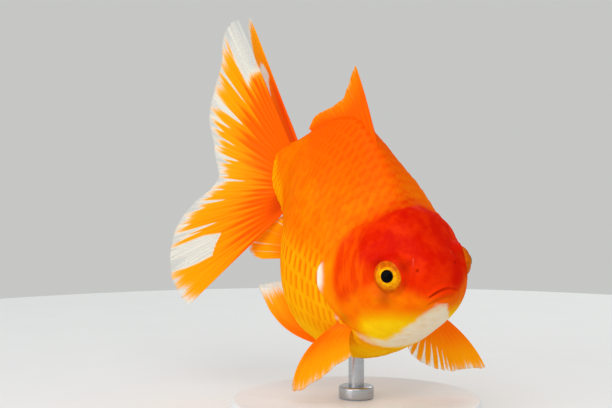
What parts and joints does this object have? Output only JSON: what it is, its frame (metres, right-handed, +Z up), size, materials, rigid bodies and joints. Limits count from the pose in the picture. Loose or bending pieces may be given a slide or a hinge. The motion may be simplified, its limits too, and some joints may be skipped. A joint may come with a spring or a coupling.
{
  "type": "fantail goldfish on a display stand",
  "caption": "Life-size still model of a round-bodied, double-tailed orange goldfish that swims nose-down, held on a plain disc stand by a short rod.",
  "frame": {"origin": "centre of the stand's underside, on the floor", "axes": "+X the way the fish heads, +Y to its left, +Z up"},
  "size_m": [0.0991, 0.0647, 0.1041],
  "materials": {
    "skin_red": "smooth wet head skin, red running to orange and yellow at the throat",
    "skin_orange": "scaled wet skin, orange above and yellow at the belly",
    "fin": "thin rayed membrane, orange with clear white patches and margins",
    "eye": "black pupil in a gold ring under a clear cornea",
    "stand_white": "satin off-white",
    "stand_steel": "satin"
  },
  "bodies": {
    "root": {"head": "skin_red", "lower_jaw": "skin_red", "trunk": "skin_orange", "tail_stalk": "skin_orange", "dorsal_fin": "fin", "gill_cover_left": "skin_red", "gill_cover_right": "skin_red", "eye_left": "eye", "eye_right": "eye", "tail_fin_left": "fin", "tail_fin_right": "fin", "pelvic_fin_left": "fin", "pelvic_fin_right": "fin", "anal_fin_left": "fin", "anal_fin_right": "fin", "pectoral_fin_left": "fin", "pectoral_fin_right": "fin", "stand_base": "stand_white", "stand_collar": "stand_steel", "stand_rod": "stand_steel"}
  },
  "joints": []
}
